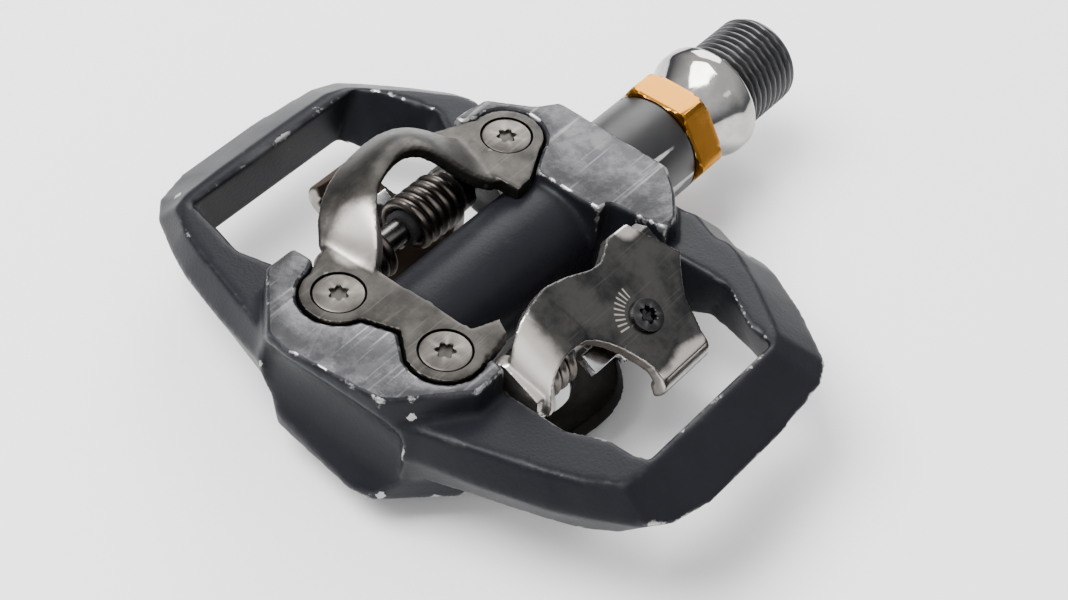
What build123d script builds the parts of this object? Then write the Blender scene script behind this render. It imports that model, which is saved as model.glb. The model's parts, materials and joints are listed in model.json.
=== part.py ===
from build123d import *
from math import cos, pi, sin, radians
import os

# Left-hand trail pedal with a spring-clip cleat mechanism on each face.
# Frame: origin on the spindle axis at the shoulder that meets the crank arm.
# +X runs along the spindle into the crank, +Y is the toe end of the top face, +Z is up.
# The underside is the top face turned half a turn about the spindle axis.
# Sections below are drawn on planes whose origin is the pedal centre.

# ---------- driving dimensions, mm ----------
spindle_reach = 55.0        # pedal centre to crank shoulder
centre_x = -spindle_reach

thread_r = 7.14             # 9/16 inch crank thread
thread_pitch = 1.27         # 20 turns to the inch
thread_len = 12.5
thread_end = spindle_reach + thread_len
thread_depth = 0.70
thread_chamfer = 0.8
groove_half = 0.45          # half width of a thread groove at the crest
flange_r = 9.0
flange_start = 52.6
neck_r = 5.9
neck_start = 40.6
neck_end = 46.9
key_across = 8.0            # hexagon key socket in the threaded end
key_depth = 9.0
journal_r = 5.4
shaft_r = 4.0
stub_r = 3.0
stub_end = -21.5
stub_start = -15.0

ball_r = 1.19
ball_pitch_r = 4.6
ball_count = 12
race_gap = 0.03
slip = 0.02                 # clearance between pieces pushed together by hand
inboard_balls_x = 22.0
outboard_balls_x = -12.5

bore_r = 6.4
bore_end = -23.0
tube_r = 8.0
tube_end = -24.8
collar_thread_r = 7.6
collar_r = 8.05
collar_bore_r = 6.9
collar_start = 24.0
block_face_x = 30.4         # inboard face of the pedal body
collar_end = 41.0
nut_end = 46.5
nut_across = 16.4
nut_mouth_r = 6.25
nose_r = 7.4                # end of the collar inside the nut
nose_end = 44.0
seal_r = 7.0
seal_end = 46.0

block_top = 9.5             # half thickness over the side blocks
cage_half = 4.6             # half thickness along the cage ridge
cage_tilt = 2.86            # the cage lies lower at the toe end of the top face, degrees
window_y = 38.2
window_z = 6.0              # height of the window outlines
block_root_z = 2.0          # height where the side blocks meet the cage
block_flare = 1.0
block_gap = (-13.6, 17.0)   # clear span between the side blocks
plate_t = 2.3               # steel sheet of the toe hooks
scoop_r = 10.9              # hollow along the outboard side
scoop_x = -37.4
scoop_len = 24.0
pocket_gap = 0.35

pin_y = 16.0
pin_z = 1.5
pin_r = 1.9
pin_fit = 0.07              # running fit of the claw on its pin
pin_left = -20.0
pin_right = 23.0

claw_left = -12.5
claw_right = 16.5
claw_t = 2.3
claw_ear_r = 3.6
claw_tilt = 30.0            # slope of the claw's top plate, degrees

screw_spots = [(19.7, 10.5), (-18.3, 7.2), (-16.5, -9.5)]
screw_head_r = 3.5
screw_shank_r = 1.95
lobe_r = 5.2
screw_tip_z = 4.2
head_t = 1.5
key_r = 1.5                 # key sockets of the small screws, across corners / 2
hook_reach = 24.0           # room for drawing a toe hook, past its end
hook_half_span = 20.0
loop_top = 14.6

tension_spot = (6.0, -24.6, 9.2)   # tension screw's axis at the claw's outer surface
tension_r = 2.2
tension_head_r = 2.45
tension_len = 6.0
head_proud = 0.6            # tension screw's head above and below the sheet's outer surface
head_seat = 1.0
nut_depth = 4.3             # middle of the tension plate below the claw's outer surface
nut_t = 1.6

coil_r = 3.5                # mean radius of the spring's turns
wire_r = 0.78
coil_turns = 5
coil_starts = (-9.2, 4.8)
coil_pitch = 2 * wire_r + 0.06
clip_t = 0.75
clip_rim = 1.2


def face(height, side=1):
    """Plane level with the top face (side 1), or the same plane turned to the underside (-1)."""
    return Plane(origin=(centre_x, 0, side * height), x_dir=(1, 0, 0), z_dir=(0, 0, side))


def cage_level(height):
    """Plane level with the tilted cage, at a height above its middle."""
    return face(0).rotated((-cage_tilt, 0, 0)).offset(height)


def station(x):
    """Plane across the spindle: its own x and y are the pedal's Y and Z."""
    return Plane(origin=(centre_x + x, 0, 0), x_dir=(0, 1, 0), z_dir=(1, 0, 0))


def elevation(y):
    """Upright plane along the spindle: its own x and y are the pedal's X and Z."""
    return Plane(origin=(centre_x, y, 0), x_dir=(1, 0, 0), z_dir=(0, -1, 0))


def ring(x0, x1, r_in, r_out):
    """Plain ring or bush about the spindle axis between two stations."""
    with BuildPart() as made:
        with BuildSketch(station(x0)):
            Circle(r_out)
            Circle(r_in, mode=Mode.SUBTRACT)
        extrude(amount=x1 - x0)
    return made


def underside(piece):
    """The same piece on the other face: half a turn about the spindle axis."""
    with BuildPart() as made:
        add(piece.part, rotation=(180, 0, 0))
    return made


def save(made, label):
    """Label a finished piece and write it."""
    made.part.label = label
    export_step(made.part, f"parts/{label}.step")


os.makedirs("parts", exist_ok=True)

# ---------- spindle ----------
with BuildPart() as spindle:
    with BuildSketch(elevation(0)):
        with BuildLine():
            Polyline(
                (stub_end, 0), (stub_end, stub_r), (stub_start, stub_r), (stub_start, shaft_r - 0.5),
                (outboard_balls_x, shaft_r - 0.5), (-11.0, shaft_r), (20.0, shaft_r),
                (20.6, 4.4), (23.6, 4.4), (24.8, journal_r), (40.0, journal_r), (neck_start, neck_r),
                (neck_end, neck_r),
            )
            Spline(
                (neck_end, neck_r), (49.6, 6.7), (flange_start, flange_r),
                tangents=((1, 0), (0.9, 1)),
            )
            Polyline(
                (flange_start, flange_r), (spindle_reach, flange_r), (spindle_reach, thread_r),
                (thread_end - thread_chamfer, thread_r),
                (thread_end, thread_r - thread_chamfer), (thread_end, 0), (stub_end, 0),
            )
        make_face()
    revolve(axis=Axis.X)
    # ring grooves stand for the thread's turns, with flat crests at the full diameter
    groove_count = int((thread_len - 2 * thread_chamfer) / thread_pitch)
    for turn in range(groove_count):
        groove_x = spindle_reach + 1.3 + turn * thread_pitch
        with BuildSketch(elevation(0)):
            with BuildLine():
                Polyline(
                    (groove_x - groove_half, thread_r + 0.05), (groove_x, thread_r - thread_depth),
                    (groove_x + groove_half, thread_r + 0.05), (groove_x - groove_half, thread_r + 0.05),
                )
            make_face()
        revolve(axis=Axis.X, mode=Mode.SUBTRACT)
    with BuildSketch(station(thread_end)):
        RegularPolygon(key_across / 2, 6, major_radius=False)
    extrude(amount=-key_depth, mode=Mode.SUBTRACT)
    for row_x in (inboard_balls_x, outboard_balls_x):
        with BuildSketch(elevation(0)):
            with Locations((row_x, ball_pitch_r)):
                Circle(ball_r + race_gap)
        revolve(axis=Axis.X, mode=Mode.SUBTRACT)
save(spindle, "spindle")

# ---------- bearings ----------
for row_name, row_x in (("inboard_balls", inboard_balls_x), ("outboard_balls", outboard_balls_x)):
    with BuildPart() as balls:
        for index in range(ball_count):
            angle = 2 * pi * index / ball_count
            ball_y = ball_pitch_r * cos(angle)
            ball_z = ball_pitch_r * sin(angle)
            with Locations((centre_x + row_x, ball_y, ball_z)):
                Sphere(ball_r)
    save(balls, row_name)

with BuildPart() as outboard_cone:
    with BuildSketch(elevation(0)):
        with BuildLine():
            Polyline(
                (-18.0, stub_r + 0.01), (-18.0, 5.2), (-14.6, 5.2), (-12.9, 3.9),
                (-12.9, shaft_r - 0.45), (stub_start - slip, shaft_r - 0.45),
                (stub_start - slip, stub_r + 0.01), (-18.0, stub_r + 0.01),
            )
        make_face()
    revolve(axis=Axis.X)
    with BuildSketch(elevation(0)):
        with Locations((outboard_balls_x, ball_pitch_r)):
            Circle(ball_r + race_gap)
    revolve(axis=Axis.X, mode=Mode.SUBTRACT)
save(outboard_cone, "outboard_cone")

with BuildPart() as lock_nut:
    with BuildSketch(station(-20.8)):
        RegularPolygon(4.6, 6, major_radius=False)
        Circle(stub_r + 0.01, mode=Mode.SUBTRACT)
    extrude(amount=2.75)
save(lock_nut, "lock_nut")

sleeve_r = bore_r - slip
with BuildPart() as bearing_sleeve:
    with BuildSketch(elevation(0)):
        with BuildLine():
            Polyline(
                (-22.0, 5.85), (-22.0, sleeve_r), (collar_start - 0.1, sleeve_r),
                (collar_start - 0.1, 5.83), (20.4, 5.83), (19.6, 5.0), (-10.6, 5.0),
                (-11.3, 5.83), (-22.0, 5.85),
            )
        make_face()
    revolve(axis=Axis.X)
    with BuildSketch(elevation(0)):
        for row_x in (inboard_balls_x, outboard_balls_x):
            with Locations((row_x, ball_pitch_r)):
                Circle(ball_r + race_gap)
    revolve(axis=Axis.X, mode=Mode.SUBTRACT)
save(bearing_sleeve, "bearing_sleeve")

save(ring(25.2, 33.0, journal_r + 0.05, collar_bore_r - slip), "inboard_bush")
save(ring(34.0, 35.8, journal_r + 0.10, collar_bore_r - slip), "o_ring")

with BuildPart() as bearing_collar:
    with BuildSketch(elevation(0)):
        with BuildLine():
            Polyline(
                (collar_start, collar_bore_r), (collar_start, collar_thread_r),
                (block_face_x + 0.05, collar_thread_r), (block_face_x + 0.05, collar_r),
                (collar_end - 0.4, collar_r), (collar_end, collar_r - 0.4),
                (collar_end, nose_r), (nose_end, nose_r), (nose_end, collar_bore_r),
                (collar_start, collar_bore_r),
            )
        make_face()
    revolve(axis=Axis.X)
save(bearing_collar, "bearing_collar")

with BuildPart() as wrench_nut:
    with BuildSketch(station(collar_end + slip)):
        RegularPolygon(nut_across / 2, 6, major_radius=False)
    extrude(amount=nut_end - collar_end - slip)
    # both ends of the hexagon are turned to a cone
    with BuildSketch(elevation(0)):
        with BuildLine():
            Polyline(
                (collar_end, 0), (collar_end, 8.6), (collar_end + 0.7, 9.6), (nut_end - 1.2, 9.6),
                (nut_end, 8.2), (nut_end, 0), (collar_end, 0),
            )
        make_face()
    revolve(axis=Axis.X, mode=Mode.INTERSECT)
    with BuildSketch(station(collar_end)):
        Circle(nose_r + slip)
    extrude(amount=nose_end - collar_end + 0.05, mode=Mode.SUBTRACT)
    with BuildSketch(station(collar_end)):
        Circle(seal_r)
    extrude(amount=seal_end - collar_end, mode=Mode.SUBTRACT)
    with BuildSketch(station(collar_end)):
        Circle(nut_mouth_r)
    extrude(amount=nut_end - collar_end, mode=Mode.SUBTRACT)
save(wrench_nut, "wrench_nut")

save(ring(nose_end + 0.1, seal_end - 0.05, neck_r + 0.08, seal_r - slip), "dust_seal")

# ---------- pedal body ----------
# Half outlines from the outboard side round the toe end to the inboard side; the heel
# end is the same line reflected.
nose_line = [
    (-29.5, 9.5), (-27.2, 14.0), (-25.0, 23.5), (-22.4, 32.0), (-20.3, 36.5), (-17.0, 42.6),
    (-14.0, 45.2), (-8.4, 46.6), (5.8, 46.8), (17.5, 45.8), (21.2, 44.2), (23.4, 41.4),
    (27.4, 35.4), (30.6, 29.8), (31.4, 27.0), (31.2, 25.7), (30.6, 25.4), (31.6, 22.2),
    (33.0, 18.4), (33.1, 16.6), (32.2, 16.0),
]
ridge_line = [
    (-29.0, 9.0), (-26.0, 14.0), (-23.2, 22.5), (-20.9, 30.0), (-19.2, 34.5), (-16.6, 38.6),
    (-14.0, 39.3), (-8.0, 39.5), (5.0, 39.6), (14.5, 39.5), (17.4, 38.2), (19.4, 35.6),
    (23.6, 29.8), (26.6, 24.9), (27.4, 22.6), (27.3, 21.6), (26.9, 21.3), (27.8, 19.0),
    (28.9, 16.6), (29.0, 15.4), (28.6, 15.0),
]


def reflected(half):
    """Close a half outline with its reflection across the spindle axis."""
    return half + [(x, -y) for x, y in reversed(half)]


# Window corners on the top face at the heel end, then on the underside at the heel end.
# The toe end has the same two outlines with the faces exchanged.
window_near = [
    (-13.4, -8.0), (-13.6, -20.0), (-13.6, -28.0), (-11.4, -32.5), (-11.2, -window_y),
    (15.6, -window_y), (16.4, -34.0), (20.3, -28.0), (20.8, -20.0), (19.0, -8.0),
]
window_far = [
    (-15.8, -8.0), (-16.4, -20.0), (-18.6, -26.0), (-17.8, -31.0), (-16.4, -window_y + 0.8),
    (19.6, -window_y + 0.8), (21.6, -33.0), (22.8, -24.0), (17.6, -18.5), (17.2, -8.0),
]
outboard_block = [
    (-13.0, 17.2), (-21.4, 17.2), (-29.6, 9.2), (-30.2, 5.6), (-28.4, -8.6),
    (-27.2, -10.2), (-19.0, -17.0), (-13.0, -17.0),
]
inboard_block = [
    (16.0, 18.5), (23.5, 17.6), (27.4, 11.5), (block_face_x, 9.5), (block_face_x, -9.6),
    (26.8, -13.6), (23.0, -16.6), (16.0, -17.0),
]
outboard_flat = [
    (-22.6, 10.2), (-17.8, -3.0), (-21.3, -7.2), (-13.4, -14.2), (-8.8, -13.3), (-7.6, -11.0),
    (-11.6, -9.4), (-11.4, -2.3), (-11.8, 2.5), (-11.6, 14.9), (-18.3, 12.4),
]
inboard_flat = [
    (12.4, 2.4), (15.1, 2.5), (20.8, 5.4), (24.6, 8.5), (19.0, 15.8), (11.8, 19.0),
]


def grown(outline, middle_x, step):
    """The outline moved away from a middle point on the spindle axis by a fixed step."""
    moved = []
    for x, y in outline:
        away = Vector(x - middle_x, y, 0).normalized() * step
        moved.append((x + away.X, y + away.Y))
    return moved


def hook_flats(gap):
    """Draw a toe hook's flat steel in the open sketch, grown by a gap."""
    with Locations(*screw_spots):
        Circle(lobe_r + gap)
    for outline in (outboard_flat, inboard_flat):
        flat = Polygon(*outline, align=None, mode=Mode.PRIVATE)
        if gap:
            flat = offset(flat, amount=gap, kind=Kind.INTERSECTION, mode=Mode.PRIVATE)
        add(flat)


with BuildPart() as cage_body:
    for side in (1, -1):
        with BuildSketch(cage_level(0)):
            Polygon(*reflected(nose_line), align=None)
        with BuildSketch(cage_level(side * cage_half)):
            Polygon(*reflected(ridge_line), align=None)
        loft(ruled=True)
        for outline, middle_x in ((outboard_block, -22.0), (inboard_block, 22.0)):
            with BuildSketch(face(block_top, side)):
                Polygon(*outline, align=None)
            with BuildSketch(face(block_root_z, side)):
                Polygon(*grown(outline, middle_x, block_flare), align=None)
            loft(ruled=True)
    # the two windows that leave the cage round the mechanism
    for side in (1, -1):
        with BuildSketch(face(window_z, side)):
            Polygon(*window_near, align=None)
        with BuildSketch(face(window_z, side).offset(-2 * window_z)):
            Polygon(*window_far, align=None)
        loft(ruled=True, mode=Mode.SUBTRACT)
        with BuildSketch(face(window_z, side)):
            Polygon(*window_near, align=None)
        extrude(amount=window_z, mode=Mode.SUBTRACT)
        with BuildSketch(face(window_z, side).offset(-2 * window_z)):
            Polygon(*window_far, align=None)
        extrude(amount=-window_z, mode=Mode.SUBTRACT)
    # the side blocks stand apart, joined only by the axle tube
    with BuildSketch(elevation(0)):
        with Locations((sum(block_gap) / 2, 0)):
            Rectangle(block_gap[1] - block_gap[0], 2 * block_top + 4.0)
    extrude(amount=tube_r + 1.0, both=True, mode=Mode.SUBTRACT)
    with BuildSketch(station(tube_end)):
        Circle(tube_r)
    extrude(amount=block_face_x - tube_end)
    # scoop along the outboard side
    with BuildSketch(elevation(-scoop_len / 2)):
        with Locations((scoop_x, 0)):
            Circle(scoop_r)
    extrude(amount=-scoop_len, mode=Mode.SUBTRACT)
    # bore for the bearing sleeve and the wider thread of the collar
    with BuildSketch(station(bore_end)):
        Circle(bore_r)
    extrude(amount=block_face_x - bore_end, mode=Mode.SUBTRACT)
    with BuildSketch(station(collar_start)):
        Circle(collar_thread_r + slip)
    extrude(amount=block_face_x - collar_start, mode=Mode.SUBTRACT)
    with BuildSketch(station(block_face_x)):
        Circle(collar_r + 0.6)
    extrude(amount=4.0, mode=Mode.SUBTRACT)
    # pockets, screw holes and pin holes on each face
    for side in (1, -1):
        with BuildSketch(face(block_top - plate_t, side)):
            hook_flats(pocket_gap)
        extrude(amount=plate_t + 1.0, mode=Mode.SUBTRACT)
        with BuildSketch(face(screw_tip_z - 0.5, side)):
            with Locations(*screw_spots):
                Circle(screw_shank_r + slip)
        extrude(amount=block_top, mode=Mode.SUBTRACT)
        with BuildSketch(station(pin_left)):
            with Locations((-side * pin_y, side * pin_z)):
                Circle(pin_r + slip)
        extrude(amount=pin_right - pin_left, mode=Mode.SUBTRACT)
save(cage_body, "cage_body")

# ---------- toe hooks ----------
# A bent sheet: two flat feet, and a loop that rises over the toe end of the cleat.
hook_foot = block_top - plate_t
with BuildPart() as loop_space:
    with BuildSketch(elevation(0)):
        Polygon(
            (-10.6, hook_foot - 1), (-10.6, 8.6), (-7.0, 11.7), (-4.6, 12.3), (6.1, 12.3),
            (8.4, 11.7), (11.1, 8.6), (11.1, hook_foot - 1), align=None,
        )
    extrude(amount=-hook_reach)
    with BuildSketch(station(-hook_half_span)):
        Polygon(
            (-1.0, hook_foot - 1), (-1.0, 12.4), (16.6, 12.4), (19.1, 10.9), (20.3, 8.4),
            (20.3, hook_foot - 1), align=None,
        )
    extrude(amount=2 * hook_half_span, mode=Mode.INTERSECT)
    with BuildSketch(face(hook_foot - 1)):
        Polygon(
            (-10.7, -1.0), (-10.7, 13.9), (-5.9, 17.1), (-0.5, 19.3), (4.4, 20.1), (7.4, 20.1),
            (9.9, 19.4), (11.2, 18.0), (11.2, -1.0), align=None,
        )
    extrude(amount=8.0, mode=Mode.INTERSECT)

with BuildPart() as top_toe_hook:
    with BuildSketch(elevation(0)):
        Polygon(
            (-13.0, hook_foot), (-13.0, block_top), (-8.0, 13.8), (-5.0, loop_top),
            (6.5, loop_top), (9.5, 13.8), (13.5, block_top), (13.5, hook_foot), align=None,
        )
    extrude(amount=-hook_reach)
    with BuildSketch(station(-hook_half_span)):
        Polygon(
            (0.0, hook_foot), (0.0, loop_top), (17.5, loop_top), (21.0, 12.6), (22.6, 9.0),
            (22.6, hook_foot), align=None,
        )
    extrude(amount=2 * hook_half_span, mode=Mode.INTERSECT)
    with BuildSketch(face(hook_foot)):
        Polygon(
            (-13.0, 6.5), (-13.0, 15.2), (-6.9, 19.2), (-1.2, 21.7), (4.3, 22.4), (7.7, 22.5),
            (11.2, 21.5), (13.5, 19.0), (13.5, 4.0), (8.5, 4.0), (8.5, 8.6), (7.5, 12.6),
            (5.5, 15.0), (2.5, 15.6), (-2.6, 14.6), (-6.2, 12.2), (-8.5, 8.6), align=None,
        )
    extrude(amount=block_top, mode=Mode.INTERSECT)
    add(loop_space.part, mode=Mode.SUBTRACT)
    with BuildSketch(face(hook_foot)):
        hook_flats(0)
    extrude(amount=plate_t)
    with BuildSketch(face(block_top - head_t)):
        with Locations(*screw_spots):
            Circle(screw_head_r + 0.1)
    extrude(amount=head_t, mode=Mode.SUBTRACT)
    with BuildSketch(face(hook_foot)):
        with Locations(*screw_spots):
            Circle(screw_shank_r + 0.1)
    extrude(amount=plate_t, mode=Mode.SUBTRACT)
save(top_toe_hook, "top_toe_hook")
save(underside(top_toe_hook), "bottom_toe_hook")

with BuildPart() as top_hook_screws:
    with BuildSketch(face(block_top - head_t)):
        with Locations(*screw_spots):
            Circle(screw_head_r)
    extrude(amount=head_t)
    with BuildSketch(face(screw_tip_z)):
        with Locations(*screw_spots):
            Circle(screw_shank_r)
    extrude(amount=block_top - head_t - screw_tip_z)
    with BuildSketch(face(block_top)):
        with Locations(*screw_spots):
            RegularPolygon(key_r, 6)
    extrude(amount=-1.1, mode=Mode.SUBTRACT)
save(top_hook_screws, "top_hook_screws")
save(underside(top_hook_screws), "bottom_hook_screws")

# ---------- sprung claws ----------
slope = Plane(
    origin=(centre_x + tension_spot[0], tension_spot[1], tension_spot[2]),
    x_dir=(1, 0, 0),
    z_dir=(0, -sin(radians(claw_tilt)), cos(radians(claw_tilt))),
)
with BuildPart() as top_claw:
    with BuildSketch(station(claw_left)):
        Polygon(
            (-14.0, 0.5), (-14.0, 12.4), (-15.8, 14.3), (-30.2, 6.0), (-32.6, 3.6),
            (-32.6, 1.0), (-20.0, -0.5), align=None,
        )
        with Locations((-pin_y, pin_z)):
            Circle(claw_ear_r)
    extrude(amount=claw_right - claw_left)
    # hollow under the sheet, open below, between two end cheeks
    with BuildSketch(station(claw_left + claw_t)):
        Polygon(
            (-16.3, -4.0), (-16.3, 11.3), (-29.0, 4.0), (-30.3, 2.6), (-30.3, -4.0),
            align=None,
        )
        Polygon((-8.0, -4.0), (-8.0, 7.0), (-18.0, 7.0), (-20.0, -4.0), align=None)
    extrude(amount=claw_right - claw_left - 2 * claw_t, mode=Mode.SUBTRACT)
    # arched opening in both cheeks behind the pin
    with BuildSketch(station(claw_left)):
        with BuildLine():
            Polyline((-30.3, 2.8), (-30.3, -4.0), (-20.6, -4.0), (-20.6, 1.0))
            ThreePointArc((-20.6, 1.0), (-23.6, 5.4), (-30.3, 2.8))
        make_face()
    extrude(amount=claw_right - claw_left, mode=Mode.SUBTRACT)
    # waisted front edge that guides the heel of the cleat
    with BuildSketch(face(6.3)):
        Polygon(
            (claw_left - 1, -17.4), (claw_left, -17.0), (-9.5, -15.6), (-5.0, -14.4),
            (2.0, -14.3), (7.0, -15.0), (11.5, -13.6), (claw_right + 1, -13.4),
            (claw_right + 1, -8.0), (claw_left - 1, -8.0), align=None,
        )
    extrude(amount=10.0, mode=Mode.SUBTRACT)
    with BuildSketch(station(claw_left)):
        with Locations((-pin_y, pin_z)):
            Circle(pin_r + pin_fit)
    extrude(amount=claw_right - claw_left, mode=Mode.SUBTRACT)
    with BuildSketch(slope):
        Circle(tension_r + 0.05)
    extrude(amount=-4.0, mode=Mode.SUBTRACT)
    with BuildSketch(slope.offset(-head_seat)):
        Circle(tension_head_r + 0.08)
    extrude(amount=4.0, mode=Mode.SUBTRACT)
save(top_claw, "top_claw")
save(underside(top_claw), "bottom_claw")

with BuildPart() as top_tension_screw:
    with BuildSketch(slope.offset(-head_seat)):
        Circle(tension_head_r)
    extrude(amount=head_seat + head_proud)
    with BuildSketch(slope.offset(-tension_len)):
        Circle(tension_r)
    extrude(amount=tension_len - head_seat)
    with BuildSketch(slope.offset(head_proud)):
        RegularPolygon(key_r, 6)
    extrude(amount=-2 * head_proud, mode=Mode.SUBTRACT)
save(top_tension_screw, "top_tension_screw")
save(underside(top_tension_screw), "bottom_tension_screw")

with BuildPart() as top_tension_plate:
    with BuildSketch(slope.offset(-nut_depth - nut_t / 2)):
        Rectangle(9.0, 5.6)
        Circle(tension_r + 0.03, mode=Mode.SUBTRACT)
    extrude(amount=nut_t)
save(top_tension_plate, "top_tension_plate")
save(underside(top_tension_plate), "bottom_tension_plate")

with BuildPart() as top_pivot_pin:
    with BuildSketch(station(pin_left + 0.3)):
        with Locations((-pin_y, pin_z)):
            Circle(pin_r)
    extrude(amount=pin_right - pin_left - 0.6)
save(top_pivot_pin, "top_pivot_pin")
save(underside(top_pivot_pin), "bottom_pivot_pin")

with BuildPart() as top_springs:
    for start_x in coil_starts:
        with BuildLine() as turns:
            Helix(
                pitch=coil_pitch, height=coil_turns * coil_pitch, radius=coil_r,
                center=(centre_x + start_x, -pin_y, pin_z), direction=(1, 0, 0),
            )
        with BuildSketch(Plane(turns.edges()[0] @ 0, z_dir=turns.edges()[0] % 0)):
            Circle(wire_r)
        sweep(path=turns.wires()[0], is_frenet=True)
save(top_springs, "top_springs")
save(underside(top_springs), "bottom_springs")

with BuildPart() as top_spring_bush:
    for start_x in coil_starts:
        with BuildSketch(station(start_x - wire_r)):
            with Locations((-pin_y, pin_z)):
                Circle(coil_r - wire_r - 0.1)
                Circle(pin_r + 0.03, mode=Mode.SUBTRACT)
        extrude(amount=(coil_turns + 1) * coil_pitch)
save(top_spring_bush, "top_spring_bushes")
save(underside(top_spring_bush), "bottom_spring_bushes")

with BuildPart() as top_pin_clips:
    for clip_x in (claw_left - clip_t - 0.1, claw_right + 0.1):
        with BuildSketch(station(clip_x)):
            with Locations((-pin_y, pin_z)):
                Circle(pin_r + clip_rim)
                Circle(pin_r, mode=Mode.SUBTRACT)
                with Locations((2.5, 0)):
                    Rectangle(3.0, 2.2, mode=Mode.SUBTRACT)
        extrude(amount=clip_t)
save(top_pin_clips, "top_pin_clips")
save(underside(top_pin_clips), "bottom_pin_clips")
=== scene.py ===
# %% [markdown]
# # A clipless pedal, dressed for the camera
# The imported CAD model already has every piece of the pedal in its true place. This lesson keeps
# that frame, gives each piece the finish of the real one, and swaps a few plain CAD solids for
# meshes with the soft edges, wear and thread that a used pedal has.

# %% Load the frame
import json
import math
import bmesh
import bpy
from mathutils import Matrix, Vector


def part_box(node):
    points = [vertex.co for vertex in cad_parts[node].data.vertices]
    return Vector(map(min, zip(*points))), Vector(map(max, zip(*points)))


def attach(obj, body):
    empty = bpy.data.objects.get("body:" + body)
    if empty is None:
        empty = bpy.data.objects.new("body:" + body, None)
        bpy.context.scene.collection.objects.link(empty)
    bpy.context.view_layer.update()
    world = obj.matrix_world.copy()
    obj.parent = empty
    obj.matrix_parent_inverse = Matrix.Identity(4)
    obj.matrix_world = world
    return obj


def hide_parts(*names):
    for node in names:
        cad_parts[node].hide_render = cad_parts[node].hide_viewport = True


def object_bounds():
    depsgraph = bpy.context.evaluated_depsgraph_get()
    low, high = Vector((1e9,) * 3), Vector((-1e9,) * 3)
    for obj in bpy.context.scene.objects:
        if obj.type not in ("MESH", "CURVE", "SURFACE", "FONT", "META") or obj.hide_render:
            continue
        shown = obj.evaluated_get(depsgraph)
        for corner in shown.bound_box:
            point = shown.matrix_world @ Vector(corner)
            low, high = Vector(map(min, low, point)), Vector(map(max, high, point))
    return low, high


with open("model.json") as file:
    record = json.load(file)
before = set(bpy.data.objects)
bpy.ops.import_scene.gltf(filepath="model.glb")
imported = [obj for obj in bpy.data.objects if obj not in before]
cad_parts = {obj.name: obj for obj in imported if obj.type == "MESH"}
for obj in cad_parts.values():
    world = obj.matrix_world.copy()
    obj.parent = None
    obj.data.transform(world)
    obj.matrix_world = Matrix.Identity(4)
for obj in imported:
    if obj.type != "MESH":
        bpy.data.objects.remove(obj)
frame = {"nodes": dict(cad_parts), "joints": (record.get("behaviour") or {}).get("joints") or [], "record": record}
cad_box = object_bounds()
MM = 0.001
joints = {joint["name"]: joint for joint in frame["joints"]}
body_nodes = frame["record"]["behaviour"]["bodies"]
body_of_node = {node: name for name, nodes in body_nodes.items() for node in nodes}
print("CAD box, mm:", [[round(c / MM, 1) for c in corner] for corner in cad_box])

# %% [markdown]
# ## Where things are
# Every place comes from the frame. The pedal's centre is the point on the spindle axis that the
# body's joint turns about, and the half thickness of the side blocks is read from the body's box.

# %% Places that the rest of the script uses
centre = Vector(joints["pedal_spin"]["pos_m"])
body_high = Vector(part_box("cage_body")[1])
block_top = body_high.z
floor_z = cad_box[0][2]
print("pedal centre, mm:", [round(c / MM, 2) for c in centre])
print("block top, mm:", round(block_top / MM, 2))


def at(x, y, z):
    """A point in metres from millimetres counted from the pedal's centre."""
    return centre + Vector((x, y, z)) * MM


# %% [markdown]
# ## Camera
# A long lens looks down on the outboard and heel side of the pedal. A camera looks along its
# own -Z with +X to the right. Three Euler angles could turn it, but two directions are easier to
# read: where it looks, and which way is right. The cross product of the two is its up direction.

# %% Camera
camera_data = bpy.data.cameras.new("camera")
camera_data.lens = 78.4
camera_data.sensor_width = 36.0
camera_data.clip_start = 0.01
camera = bpy.data.objects.new("camera", camera_data)
camera.location = at(-171.9, -131.78, 228.94)
look = Vector((0.56209, 0.3957, -0.72628))
side = Vector((0.6315, -0.7724, 0.06791))
above = side.cross(look)
camera.matrix_world = Matrix.Translation(camera.location) @ Matrix(
    (
        (side.x, above.x, -look.x),
        (side.y, above.y, -look.y),
        (side.z, above.z, -look.z),
    )
).to_4x4()
bpy.context.scene.collection.objects.link(camera)
bpy.context.scene.camera = camera
print("camera turned by, degrees:", [round(math.degrees(a), 2) for a in camera.rotation_euler])

# %% [markdown]
# ## Studio
# The pedal lies on a pale table under big soft lights. Small lamps would give hard shadows and
# spots on the polished spindle. Broad area lights and a bright sky give the black body long,
# soft highlights and keep the floor's shadow faint. The sky is darker near the horizon, so
# steel faces have something dark to mirror.

# %% Floor, world and lights
bm = bmesh.new()
bmesh.ops.create_grid(bm, x_segments=1, y_segments=1, size=3.0)
bmesh.ops.translate(bm, vec=(0, 0, floor_z), verts=bm.verts)
floor_mesh = bpy.data.meshes.new("floor")
bm.to_mesh(floor_mesh)
bm.free()
floor = bpy.data.objects.new("floor", floor_mesh)
bpy.context.scene.collection.objects.link(floor)

world = bpy.data.worlds.new("studio")
bpy.context.scene.world = world
world.use_nodes = True
sky = world.node_tree
background = sky.nodes["Background"]
sky_strength = 1.2
horizon = (0.16, 0.17, 0.19, 1)
zenith = (1.0, 1.0, 1.0, 1)
background.inputs["Strength"].default_value = sky_strength
direction = sky.nodes.new("ShaderNodeTexCoord")
height = sky.nodes.new("ShaderNodeSeparateXYZ")
fade = sky.nodes.new("ShaderNodeValToRGB")
fade.color_ramp.elements[0].position = 0.12
fade.color_ramp.elements[0].color = horizon
fade.color_ramp.elements[1].position = 0.72
fade.color_ramp.elements[1].color = zenith
sky.links.new(direction.outputs["Generated"], height.inputs["Vector"])
sky.links.new(height.outputs["Z"], fade.inputs["Fac"])
sky.links.new(fade.outputs["Color"], background.inputs["Color"])


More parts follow.
